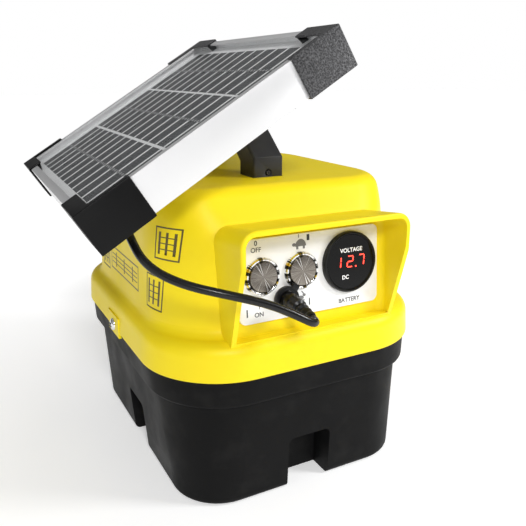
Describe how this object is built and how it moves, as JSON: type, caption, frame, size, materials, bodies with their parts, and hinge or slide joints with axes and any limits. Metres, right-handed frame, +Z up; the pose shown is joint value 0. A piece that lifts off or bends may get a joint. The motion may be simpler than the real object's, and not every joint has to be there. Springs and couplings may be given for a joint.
{
  "type": "fence energizer",
  "caption": "Solar fence energizer: black battery tub, yellow lid with hooded control panel, carry handle and a tilting framed solar panel.",
  "frame": {"origin": "on the floor, 4 mm in front of the middle of the tub", "axes": "+X right along the control side, +Y rearward, +Z up; the controls face -Y"},
  "size_m": [0.2287, 0.2685, 0.276],
  "materials": {
    "tub_plastic": "satin moulded black",
    "lid_plastic": "slightly glossy moulded yellow",
    "seal_rubber": "matte",
    "screw_steel": "bright zinc",
    "insert_brass": "turned",
    "handle_plastic": "satin moulded black",
    "plate_white": "printed satin white",
    "button_chrome": "polished flange",
    "button_face": "spun",
    "nut_metal": "plain",
    "meter_black": "satin black",
    "meter_glass": "clear smoked",
    "display": "red seven segment digits",
    "socket_metal": "nickel",
    "cap_rubber": "matte",
    "plug_rubber": "matte",
    "lead_jacket": "satin black jacket",
    "frame_aluminium": "anodised satin",
    "corner_plastic": "pebbled black",
    "panel_glass": "clear",
    "silicon": "dark satin",
    "ribbon_tin": "tinned",
    "back_white": "white sheet",
    "box_plastic": "moulded black",
    "hinge_steel": "zinc plated",
    "hinge_plastic": "moulded black",
    "bush_plastic": "moulded black",
    "fence_knob": "moulded red",
    "earth_knob": "moulded green",
    "battery_plastic": "moulded dark grey",
    "lead_tab": "tinned",
    "strap": "woven",
    "tray_plastic": "moulded",
    "circuit_green": "solder resist",
    "core_steel": "laminated",
    "copper": "lacquered copper wire",
    "capacitor": "sleeved can",
    "sink_aluminium": "extruded",
    "wire_red": "insulated wire"
  },
  "bodies": {
    "housing": {"base_tub": "tub_plastic", "lid_shell": "lid_plastic", "lid_seal": "seal_rubber", "lid_screws": "screw_steel", "screw_inserts": "insert_brass", "carry_handle": "handle_plastic", "handle_screws": "screw_steel", "control_plate": "plate_white", "power_button_body": "button_chrome", "speed_button_body": "button_chrome", "button_nuts": "nut_metal", "meter_housing": "meter_black", "meter_window": "meter_glass", "meter_display": "display", "meter_nut": "meter_black", "charge_socket": "socket_metal", "charge_socket_nut": "nut_metal", "socket_dust_cap": "cap_rubber", "solar_plug": "plug_rubber", "plug_strain_relief": "plug_rubber", "solar_lead": "lead_jacket", "hinge_base": "hinge_plastic", "hinge_base_screws": "screw_steel", "output_studs": "screw_steel", "terminal_bushes": "bush_plastic", "terminal_inner_nuts": "nut_metal", "battery_shelf": "tray_plastic", "battery_case": "battery_plastic", "battery_terminals": "lead_tab", "battery_strap": "strap", "circuit_board": "circuit_green", "board_brackets": "nut_metal", "board_screws": "screw_steel", "transformer_core": "core_steel", "transformer_winding": "copper", "storage_capacitor": "capacitor", "heat_sink": "sink_aluminium", "charge_controller": "box_plastic", "battery_leads": "wire_red", "output_leads": "wire_red"},
    "solar_panel": {"corner_caps": "corner_plastic", "solar_glass": "panel_glass", "solar_cells": "silicon", "cell_ribbons": "ribbon_tin", "back_sheet": "back_white", "junction_box": "box_plastic", "junction_box_lid": "box_plastic", "junction_box_gland": "box_plastic", "hinge_bar": "hinge_steel", "hinge_bar_rivets": "screw_steel", "hinge_pin": "screw_steel", "hinge_nut": "screw_steel", "frame_rail_front": "frame_aluminium", "frame_rail_rear": "frame_aluminium", "frame_rail_upper": "frame_aluminium", "frame_rail_lower": "frame_aluminium"},
    "power_button": {"power_button_cap": "button_face"},
    "speed_button": {"speed_button_cap": "button_face"},
    "fence_knob": {"fence_terminal_knob": "fence_knob"},
    "earth_knob": {"earth_terminal_knob": "earth_knob"}
  },
  "joints": [
    {"name": "solar_tilt", "type": "hinge", "parent": "housing", "child": "solar_panel", "pos_m": [0, 0.01, 0.2312], "axis": [0.0349, 0.9994, 0], "range_deg": [0, 62]},
    {"name": "power_press", "type": "slide", "parent": "housing", "child": "power_button", "axis": [0, 0.9971, -0.0767], "range_m": [0, 0.0022], "stiffness_N_per_m": 300},
    {"name": "speed_press", "type": "slide", "parent": "housing", "child": "speed_button", "axis": [0, 0.9971, -0.0767], "range_m": [0, 0.0022], "stiffness_N_per_m": 300},
    {"name": "fence_knob_turn", "type": "hinge", "parent": "housing", "child": "fence_knob", "pos_m": [0.025, 0.11568, 0.148], "axis": [0, 1, 0], "continuous": true},
    {"name": "earth_knob_turn", "type": "hinge", "parent": "housing", "child": "earth_knob", "pos_m": [-0.025, 0.11568, 0.148], "axis": [0, 1, 0], "continuous": true}
  ]
}
